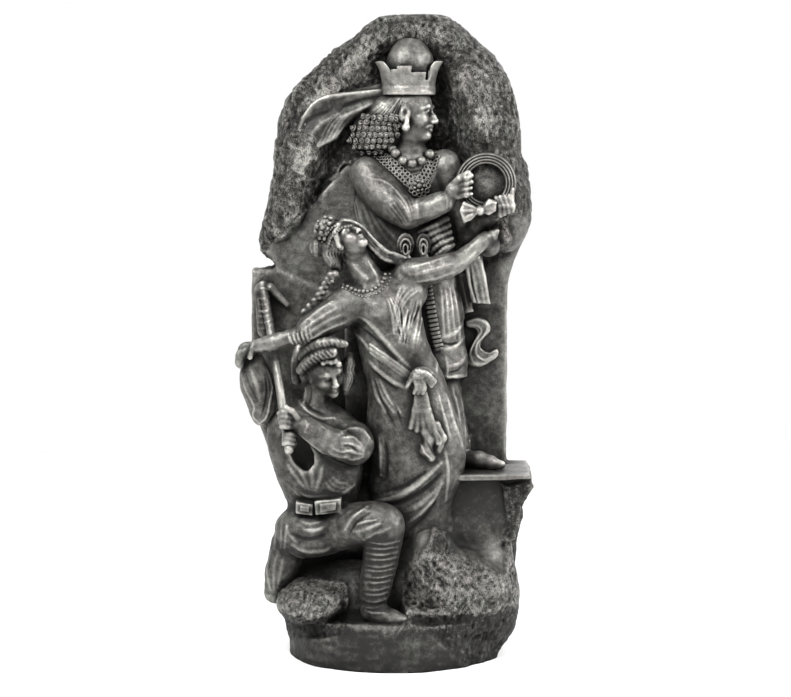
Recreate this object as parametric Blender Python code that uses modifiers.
"""Figure group: a standing king, a leaning lady and a kneeling stonecutter before a crag, one casting."""

import math

import bmesh
import bpy
from mathutils import Matrix, Vector
from mathutils.bvhtree import BVHTree

# Driving sizes, in metres
HEIGHT = 0.50
CRAG_BACK = 0.048
BASE_FRONT = 0.084
BASE_WIDTH = 0.164
BASE_RISE = 0.036
RING_RADIUS = 0.0228
RING_WIRE = 0.0046
CROWN_RADIUS = 0.0256
HANDLE_RADIUS = 0.0036

# The setting-out sheet: the group drawn in front view on small squares, as an eye before it sees it.
# A mark on it is squares across, squares down and, where it has a third number, squares behind the middle plane.
SQUARES_HIGH = 636
SQUARE = HEIGHT / SQUARES_HIGH
SHEET_MIDDLE = (395.5, 348.5)
EYE = Vector((0, -2065, 516))
AIM = Vector((0, 0, 304))

# The casting's skin and the roughness of its rock
VOXEL = 2.5 * SQUARE
ROCK_LUMPS = 26 * SQUARE
ROCK_RELIEF = 11 * SQUARE
ROCK_FACETS = 1500
SMOOTH_PASSES = 3
MOST_TRIANGLES = 9300
CASTING_GREY = (0.16, 0.155, 0.15, 1)


def sight(across, down):
    """The line of sight from the eye through a mark."""
    forward = (AIM - EYE).normalized()
    right = Vector((1, 0, 0))
    up = right.cross(forward)
    reach = (AIM - EYE).length
    return forward * reach + right * (across - SHEET_MIDDLE[0]) + up * (SHEET_MIDDLE[1] - down)


def at(across, down, depth):
    """The place, in squares, where the line of sight through a mark comes to this depth."""
    ray = sight(across, down)
    return EYE + ray * ((depth - EYE.y) / ray.y)


def on_front(clay, marks):
    """The places where the lines of sight through the marks meet the front of the clay."""
    skin = BVHTree.FromBMesh(clay)
    places = []
    for across, down in marks:
        hit = skin.ray_cast(EYE * SQUARE, sight(across, down).normalized())[0]
        if hit is not None:
            places.append(hit / SQUARE)
    return places


def clear_scene():
    for thing in list(bpy.data.objects):
        bpy.data.objects.remove(thing)


def add_lump(clay, lump, place):
    """Joins one closed lump to the clay at its place."""
    mesh = bpy.data.meshes.new("lump")
    bmesh.ops.remove_doubles(lump, verts=lump.verts, dist=1e-7)
    bmesh.ops.recalc_face_normals(lump, faces=lump.faces)
    lump.transform(place)
    lump.to_mesh(mesh)
    lump.free()
    clay.from_mesh(mesh)
    bpy.data.meshes.remove(mesh)


def add_curve(clay, curve, place):
    """Joins the solid that a curve makes to the clay."""
    thing = bpy.data.objects.new("curve", curve)
    bpy.context.scene.collection.objects.link(thing)
    graph = bpy.context.evaluated_depsgraph_get()
    mesh = bpy.data.meshes.new_from_object(thing.evaluated_get(graph))
    lump = bmesh.new()
    lump.from_mesh(mesh)
    add_lump(clay, lump, place)
    bpy.data.objects.remove(thing)
    bpy.data.meshes.remove(mesh)


def ball(clay, mark, radii, lean=0):
    """An ellipsoid; lean turns its top to the right, in degrees."""
    lump = bmesh.new()
    bmesh.ops.create_uvsphere(lump, u_segments=20, v_segments=12, radius=SQUARE)
    size = Matrix.Diagonal((*radii, 1))
    turn = Matrix.Rotation(math.radians(lean), 4, "Y")
    add_lump(clay, lump, Matrix.Translation(at(*mark) * SQUARE) @ turn @ size)


def tube(clay, places, radii, flat):
    """A tapered round-ended tube through places in squares; flat under 1 thins it from front to back."""
    curve = bpy.data.curves.new("tube", "CURVE")
    curve.dimensions = "3D"
    curve.bevel_depth = SQUARE
    curve.bevel_resolution = 3
    curve.use_fill_caps = True
    middle = sum(place.y for place in places) / len(places)
    spline = curve.splines.new("POLY")
    spline.points.add(len(places) - 1)
    for point, place, radius in zip(spline.points, places, radii):
        point.co = (place.x * SQUARE, (place.y - middle) / flat * SQUARE, place.z * SQUARE, 1)
        point.radius = radius
    thinned = Matrix.Translation((0, middle * SQUARE, 0)) @ Matrix.Diagonal((1, flat, 1, 1))
    add_curve(clay, curve, thinned)
    for place, radius in zip(places, radii):
        lump = bmesh.new()
        bmesh.ops.create_uvsphere(lump, u_segments=14, v_segments=8, radius=radius * SQUARE)
        add_lump(clay, lump, Matrix.Translation(place * SQUARE) @ Matrix.Diagonal((1, flat, 1, 1)))


def limb(clay, joints, flat=1.0):
    """A tube through joints, each a mark with its depth, and its radius there."""
    tube(clay, [at(*joint[:3]) for joint in joints], [joint[3] for joint in joints], flat)


def ridge(clay, marks, radius, tip=0.6):
    """A fold, roll or strap laid along the front of the clay, thinner at its two ends by tip."""
    places = on_front(clay, marks)
    last = len(places) - 1
    radii = [radius * (tip if i in (0, last) else 1) for i in range(last + 1)]
    tube(clay, places, radii, 1.0)


def slab(clay, outline, front, back, rounding=0):
    """A flat outline, as seen at its front, carried straight back; rounding softens its edges."""
    curve = bpy.data.curves.new("slab", "CURVE")
    curve.dimensions = "2D"
    curve.fill_mode = "BOTH"
    curve.extrude = ((back - front) / 2 - rounding) * SQUARE
    curve.bevel_depth = rounding * SQUARE
    curve.bevel_resolution = 2
    curve.offset = -rounding * SQUARE
    spline = curve.splines.new("POLY")
    spline.points.add(len(outline) - 1)
    spline.use_cyclic_u = True
    for point, (across, down) in zip(spline.points, outline):
        seen = at(across, down, front)
        point.co = (seen.x * SQUARE, seen.z * SQUARE, 0, 1)
    upright = Matrix.Rotation(math.pi / 2, 4, "X")
    add_curve(clay, curve, Matrix.Translation((0, (front + back) / 2 * SQUARE, 0)) @ upright)


def thinned_mesh(source, most):
    """The source's skin brought down to about so many triangles."""
    graph = bpy.context.evaluated_depsgraph_get()
    faces = 2 * len(source.evaluated_get(graph).data.polygons)
    thin = source.modifiers.new("thin", "DECIMATE")
    thin.ratio = min(1, most / faces)
    graph = bpy.context.evaluated_depsgraph_get()
    return bpy.data.meshes.new_from_object(source.evaluated_get(graph))


def skinned(clay, name):
    """An object holding the clay under one unbroken skin."""
    rough = bpy.data.meshes.new(name)
    clay.to_mesh(rough)
    source = bpy.data.objects.new(name, rough)
    bpy.context.scene.collection.objects.link(source)
    skin = source.modifiers.new("skin", "REMESH")
    skin.mode = "VOXEL"
    skin.voxel_size = VOXEL
    return source


def roughen(clay):
    """Breaks the surface of the clay so far into faceted crags."""
    source = skinned(clay, "stone")
    pattern = bpy.data.textures.new("crags", "CLOUDS")
    pattern.noise_basis = "VORONOI_F2_F1"
    pattern.noise_scale = ROCK_LUMPS
    pattern.noise_depth = 1
    crags = source.modifiers.new("crags", "DISPLACE")
    crags.texture = pattern
    crags.texture_coords = "LOCAL"
    crags.mid_level = 0.3
    crags.strength = ROCK_RELIEF
    mesh = thinned_mesh(source, ROCK_FACETS)
    clay.clear()
    clay.from_mesh(mesh)
    bpy.data.objects.remove(source)
    bpy.data.meshes.remove(mesh)


def crag(clay):
    """The rough rock: a craggy hood above, the flanks below and the mounds under the ledge."""
    back = CRAG_BACK / SQUARE
    edge = back - 14
    hood = (
        (264, 250), (272, 205), (284, 167), (276, 157), (281, 133), (290, 103), (297, 95), (313, 89),
        (332, 70), (347, 54), (364, 42), (369, 26), (378, 18), (425, 17), (447, 20), (472, 36),
        (484, 50), (491, 66), (496, 86), (506, 108), (512, 132), (515, 155), (525, 165), (531, 185),
        (533, 208), (528, 230), (514, 262), (508, 285), (507, 310), (300, 310), (277, 262),
    )
    slab(clay, hood, 3, edge, 10)
    flank = ((257, 280), (300, 250), (504, 250), (504, 470), (528, 480), (520, 530), (510, 606), (290, 610),
             (275, 590), (285, 545), (293, 492), (268, 430), (249, 372), (256, 340))
    slab(clay, flank, 12, edge, 10)
    ball(clay, (398, 175, 40), (116, back - 40, 146))
    ball(clay, (392, 430, 38), (108, back - 38, 190))
    limb(clay, ((376, 36, 8, 14), (400, 31, 6, 14), (425, 32, 6, 14), (450, 38, 6, 16)))
    limb(clay, ((460, 54, 8, 20), (474, 82, 8, 24), (484, 116, 6, 26), (492, 148, 0, 22)))
    limb(clay, ((306, 110, 8, 16), (330, 88, 10, 17), (354, 66, 10, 17), (370, 50, 8, 14)))
    limb(clay, ((290, 212, 6, 18), (298, 174, 4, 20), (304, 140, 6, 20)))
    ball(clay, (504, 208, -6), (27, 32, 44))
    ball(clay, (498, 168, -14), (20, 22, 24))

    for mark, radii in (
        ((455, 588, -42), (52, 46, 44)),
        ((488, 590, -22), (29, 44, 62)),
        ((428, 560, -44), (30, 34, 42)),
        ((310, 604, -62), (33, 34, 22)),
        ((352, 600, -40), (60, 30, 40)),
        ((404, 590, -44), (20, 24, 60)),
    ):
        ball(clay, mark, radii)


def dressed_stone(clay):
    """The smooth faces: a mantle and a slab at the left, a panel at the right, the king's ledge."""
    edge = CRAG_BACK / SQUARE - 16
    mantle = ((266, 252), (296, 222), (322, 192), (346, 164), (356, 164), (356, 300), (330, 302), (300, 288),
              (277, 268))
    slab(clay, mantle, -4, edge)
    left_slab = ((253, 271), (276, 268), (350, 300), (350, 440), (285, 500), (262, 430), (243, 372), (251, 340))
    slab(clay, left_slab, -6, edge, 3)
    panel = ((300, 300), (507, 285), (506, 480), (300, 480))
    slab(clay, panel, 6, edge, 2)
    backing = ((345, 300), (432, 300), (446, 470), (345, 480))
    slab(clay, backing, -24, edge)
    hollow = ((278, 440), (360, 430), (470, 440), (470, 600), (290, 604), (280, 590), (286, 545), (292, 500))
    slab(clay, hollow, -20, edge)
    ledge = ((440, 474), (532, 473), (533, 487), (528, 496), (520, 520), (514, 540), (440, 560))
    slab(clay, ledge, -46, edge, 3)
    ball(clay, (486, 481, -26), (46, 34, 12))


def base(clay):
    """The hewn base, bowed in front and straight behind."""
    back = CRAG_BACK / SQUARE
    half = BASE_WIDTH / 2 / SQUARE
    front = BASE_FRONT / SQUARE
    rise = BASE_RISE / SQUARE
    sunk = 4 * VOXEL / SQUARE
    curve = bpy.data.curves.new("base", "CURVE")
    curve.dimensions = "2D"
    curve.fill_mode = "BOTH"
    curve.extrude = (rise + sunk) / 2 * SQUARE
    steps = 28
    spline = curve.splines.new("POLY")
    spline.points.add(steps + 2)
    spline.use_cyclic_u = True
    for i in range(steps + 1):
        angle = math.pi * i / steps
        bow = math.sin(angle) ** 0.8
        spline.points[i].co = (-half * math.cos(angle) * SQUARE, -front * bow * SQUARE, 0, 1)
    spline.points[steps + 1].co = (half * SQUARE, (back - 4) * SQUARE, 0, 1)
    spline.points[steps + 2].co = (-half * SQUARE, (back - 4) * SQUARE, 0, 1)
    add_curve(clay, curve, Matrix.Translation((-2 * SQUARE, 0, (rise - sunk) / 2 * SQUARE)))


def king_head(clay):
    """Head turned to the right, domed crown with a flaring rim, bunched curls and flying ribbons."""
    neck = (411, 140, -10)
    ball(clay, (412, 112, -14), (23, 21, 27))
    ball(clay, (422, 116, -18), (14, 15, 25))
    ball(clay, (436, 114, -19), (4, 4, 5))
    ball(clay, (424, 133, -18), (11, 12, 9))
    limb(clay, ((*neck, 14), (409, 164, -8, 18)))
    ball(clay, (411, 63, -10), (23, 22, 25))
    rim = CROWN_RADIUS / SQUARE
    lump = bmesh.new()
    crown_high = 34
    bmesh.ops.create_cone(
        lump, cap_ends=True, segments=32, radius1=rim * 0.76 * SQUARE, radius2=rim * SQUARE, depth=crown_high * SQUARE
    )
    add_lump(clay, lump, Matrix.Translation(at(409, 79, -12) * SQUARE) @ Matrix.Diagonal((1, 0.8, 1, 1)))
    ball(clay, (377, 133, -8), (27, 22, 22))
    ball(clay, (388, 112, -10), (20, 20, 18))
    limb(clay, ((388, 91, -8, 7), (354, 103, -6, 13), (328, 118, -4, 20), (307, 139, -2, 18)), 0.6)


def king_body(clay):
    """Chest, waist and belted tunic down to the knee, and the booted foot on the ledge."""
    ball(clay, (404, 190, -6), (46, 28, 44))
    ball(clay, (384, 225, 2), (35, 20, 44))
    ball(clay, (420, 240, -10), (33, 24, 34))
    limb(clay, ((428, 262, -8, 28), (434, 310, -8, 29), (438, 360, -6, 29)), 0.85)
    limb(clay, ((441, 372, -4, 17), (452, 420, -10, 14), (461, 452, -18, 11)))
    limb(clay, ((462, 459, -24, 9), (480, 461, -28, 8), (496, 462, -30, 6)))
    for down, lift in ((226, 0), (236, 2), (246, 4)):
        ridge(clay, ((422, down + 4), (436, down + 3), (450, down - lift)), 3.4)
    ridge(clay, ((378, 156), (390, 170), (402, 184), (417, 190), (428, 174), (436, 152)), 4.2)
    ball(clay, (405, 245, -34), (9, 6, 9))
    ball(clay, (424, 244, -34), (7, 6, 10))
    for across in (447, 456):
        ridge(clay, ((across - 4, 296), (across, 330), (across + 3, 372)), 2.6)


def king_arms(clay):
    """Both arms come forward to hold the ring before the rock's right shoulder."""
    shoulder, elbow, wrist = (368, 174, -14), (408, 215, -38), (450, 199, -48)
    limb(clay, ((*shoulder, 19), (386, 198, -28, 17), (*elbow, 13.5)))
    limb(clay, ((*elbow, 13), (430, 208, -44, 11.5), (*wrist, 9)))
    limb(clay, ((452, 194, -50, 9), (462, 186, -52, 9)))
    far_shoulder, far_elbow, far_wrist = (444, 166, -8), (468, 232, -18), (494, 214, -38)
    limb(clay, ((*far_shoulder, 17), (460, 202, -10, 15), (*far_elbow, 12)))
    limb(clay, ((*far_elbow, 11), (*far_wrist, 9)))
    ball(clay, (501, 205, -50), (10, 9, 11))
    sleeve = ((464, 266), (482, 256), (491, 305), (472, 303))
    slab(clay, sleeve, -24, 10)
    under_sleeve = ((456, 276), (468, 274), (474, 312), (461, 315))
    slab(clay, under_sleeve, -14, 10)
    limb(clay, ((468, 321, -4, 5), (484, 327, -5, 6), (481, 342, -6, 7), (478, 356, -6, 9)))
    limb(clay, ((474, 358, -4, 7), (491, 354, -3, 6)))


def ring(clay):
    """The ring with its bow, and the rock filling it a little behind its face."""
    middle = at(486, 184, -48) * SQUARE
    curve = bpy.data.curves.new("ring", "CURVE")
    curve.dimensions = "3D"
    curve.bevel_depth = RING_WIRE
    curve.bevel_resolution = 3
    steps = 32
    spline = curve.splines.new("POLY")
    spline.points.add(steps - 1)
    spline.use_cyclic_u = True
    path = RING_RADIUS - RING_WIRE
    for i, point in enumerate(spline.points):
        angle = 2 * math.pi * i / steps
        point.co = (path * math.cos(angle), 0, path * math.sin(angle), 1)
    add_curve(clay, curve, Matrix.Translation(middle))
    ball(clay, (486, 184, -34), (25, 12, 25))
    ball(clay, (467, 211, -54), (8, 5, 8))
    ball(clay, (479, 210, -55), (5, 5, 5))
    ball(clay, (489, 207, -54), (7, 5, 6))


def lady(clay):
    """She leans back between the two men: head thrown up, long belted dress."""
    limb(clay, ((353, 262, -56, 13), (367, 286, -50, 15)))
    ball(clay, (350, 240, -58), (18, 17, 14), 16)
    ball(clay, (336, 240, -50), (21, 19, 18))
    ball(clay, (330, 226, -54), (14, 14, 11), -30)
    limb(clay, ((350, 223, -56, 5), (368, 231, -56, 4.5), (386, 250, -50, 4.5), (402, 258, -46, 4)))
    limb(clay, ((326, 246, -54, 8), (329, 268, -54, 8), (320, 293, -60, 6.5), (307, 318, -66, 5)))
    ball(clay, (319, 247, -46), (9, 10, 10))
    limb(clay, ((350, 306, -50, 20), (378, 302, -46, 27), (408, 288, -44, 19)))
    ball(clay, (377, 314, -56), (20, 19, 17))
    ball(clay, (408, 298, -55), (18, 19, 15))
    limb(clay, ((390, 320, -46, 37), (398, 350, -50, 34), (405, 374, -50, 34)), 0.72)
    limb(clay, ((410, 390, -50, 37), (414, 425, -50, 41), (424, 458, -48, 44)), 0.66)
    limb(clay, ((420, 470, -44, 43), (417, 500, -42, 38), (426, 540, -38, 28)), 0.75)
    limb(clay, ((388, 440, -40, 14), (386, 486, -40, 16), (394, 516, -44, 16)))
    ridge(clay, ((370, 348), (384, 358), (400, 368), (416, 380)), 4.5, 0.9)
    ridge(clay, ((368, 354), (382, 365), (398, 376), (412, 384)), 4.5, 0.9)
    ball(clay, (422, 379, -82), (12, 8, 10))
    for foot in (422, 437):
        ridge(clay, ((420, 388), (foot - 4, 415), (foot, 446)), 6.5, 0.8)


def lady_folds(clay):
    """The dress falls in long ropes of cloth from the belt and sweeps back to the left round the legs."""
    for start, middle, end in (
        ((380, 384), (386, 430), (392, 480)),
        ((392, 392), (402, 440), (404, 486)),
        ((445, 400), (454, 432), (462, 456)),
        ((382, 502), (420, 484), (460, 446)),
        ((394, 516), (428, 498), (458, 464)),
    ):
        ridge(clay, (start, middle, end), 4.6)
    for start, middle, end in (
        ((356, 318), (378, 334), (402, 352)),
        ((398, 300), (398, 325), (408, 350)),
    ):
        ridge(clay, (start, middle, end), 3.2)


def lady_arms(clay):
    """Her right arm lies over the stonecutter to the far edge; the left points up to the ring."""
    shoulder, elbow, wrist = (350, 306, -54), (304, 333, -72), (254, 347, -64)
    limb(clay, ((*shoulder, 18), (326, 321, -64, 14), (*elbow, 11)))
    limb(clay, ((*elbow, 9), (276, 341, -70, 8), (*wrist, 7)))
    limb(clay, ((*wrist, 8), (243, 352, -60, 8), (237, 364, -56, 5)))
    far_shoulder, far_elbow, finger = (408, 273, -46), (456, 263, -53), (493, 231, -42)
    limb(clay, ((*far_shoulder, 15), (434, 270, -54, 11.5), (*far_elbow, 10)))
    limb(clay, ((*far_elbow, 9), (474, 247, -50, 7.5), (*finger, 5)))
    ball(clay, (488, 240, -22), (14, 24, 12))
    ridge(clay, ((303, 326), (310, 336), (312, 344)), 4)
    limb(clay, ((248, 362, -50, 11), (256, 388, -50, 16), (264, 414, -50, 13)), 0.8)


def stonecutter_body(clay):
    """He kneels at the lower left: bowed head with a headband, loose shirt, belt and short skirt."""
    ball(clay, (323, 373, -58), (18, 18, 20), -20)
    ball(clay, (332, 384, -62), (10, 12, 11))
    limb(clay, ((305, 364, -56, 11), (326, 351, -60, 11), (346, 348, -52, 11)))
    limb(clay, ((318, 388, -52, 13), (314, 414, -50, 16)))
    limb(clay, ((300, 418, -48, 20), (350, 424, -50, 20)))
    limb(clay, ((318, 444, -48, 44), (322, 470, -50, 38), (321, 500, -54, 30)), 0.66)
    ball(clay, (312, 530, -56), (37, 30, 27))
    ridge(clay, ((298, 512), (320, 514), (344, 508)), 7.5, 0.9)
    ridge(clay, ((292, 543), (304, 554), (324, 555), (340, 543)), 4.5)
    ridge(clay, ((297, 488), (312, 497), (338, 496), (352, 486)), 4)


def stonecutter_limbs(clay):
    """Both fists are on the pick's handle; one foot is planted before him and the other knee rests on rock."""
    shoulder, elbow, wrist = (360, 424, -54), (356, 450, -74), (296, 426, -88)
    limb(clay, ((*shoulder, 17), (*elbow, 15.5)))
    limb(clay, ((*elbow, 14), (326, 439, -86, 12.5), (*wrist, 10)))
    ball(clay, (287, 422, -88), (10, 9, 11))
    ball(clay, (288, 443, -84), (9.5, 9, 9))
    limb(clay, ((284, 424, -46, 15), (286, 450, -50, 14), (298, 486, -54, 14)))
    hip, knee, heel = (330, 530, -62), (383, 524, -86), (373, 604, -80)
    limb(clay, ((*hip, 22), (362, 524, -80, 21), (*knee, 21)))
    limb(clay, ((*knee, 19), (377, 568, -82, 16), (*heel, 12)))
    limb(clay, ((372, 612, -80, 11), (388, 618, -86, 9), (402, 622, -88, 6)))
    limb(clay, ((290, 545, -48, 19), (281, 572, -46, 15), (275, 592, -44, 12)))
    handle = HANDLE_RADIUS / SQUARE
    limb(clay, ((263, 285, -16, handle), (276, 362, -56, handle), (289, 446, -90, handle)))
    limb(clay, ((262, 290, -14, 8), (265, 332, -24, 9)))
    limb(clay, ((270, 288, -16, 5), (287, 304, -14, 4)))


def cast(clay):
    """One skin round all the clay, softened, thinned to a light mesh and cut off flat underneath."""
    source = skinned(clay, "clay")
    clay.free()
    soften = source.modifiers.new("soften", "SMOOTH")
    soften.factor = 0.5
    soften.iterations = SMOOTH_PASSES
    mesh = thinned_mesh(source, MOST_TRIANGLES)
    bpy.data.objects.remove(source)
    trimmed = bmesh.new()
    trimmed.from_mesh(mesh)
    cut = bmesh.ops.bisect_plane(
        trimmed, geom=trimmed.verts[:] + trimmed.edges[:] + trimmed.faces[:],
        plane_co=(0, 0, 0), plane_no=(0, 0, 1), clear_inner=True,
    )
    rim = [edge for edge in cut["geom_cut"] if isinstance(edge, bmesh.types.BMEdge)]
    bmesh.ops.holes_fill(trimmed, edges=rim)
    bmesh.ops.recalc_face_normals(trimmed, faces=trimmed.faces)
    trimmed.to_mesh(mesh)
    trimmed.free()
    return mesh


def finish_material():
    grey = bpy.data.materials.new("aged_pewter_grey")
    grey.use_nodes = True
    shader = grey.node_tree.nodes["Principled BSDF"]
    shader.inputs["Base Color"].default_value = CASTING_GREY
    shader.inputs["Roughness"].default_value = 0.42
    shader.inputs["Metallic"].default_value = 0.6
    return grey


clear_scene()
group = bpy.data.collections.new("figure group")
bpy.context.scene.collection.children.link(group)
clay = bmesh.new()
for carve in (
    crag, roughen, dressed_stone, base, king_head, king_body, king_arms, ring,
    lady, lady_folds, lady_arms, stonecutter_body, stonecutter_limbs,
):
    carve(clay)
casting = cast(clay)
casting.shade_smooth()
casting.materials.clear()
casting.materials.append(finish_material())
figure_group = bpy.data.objects.new("figure_group", casting)
group.objects.link(figure_group)
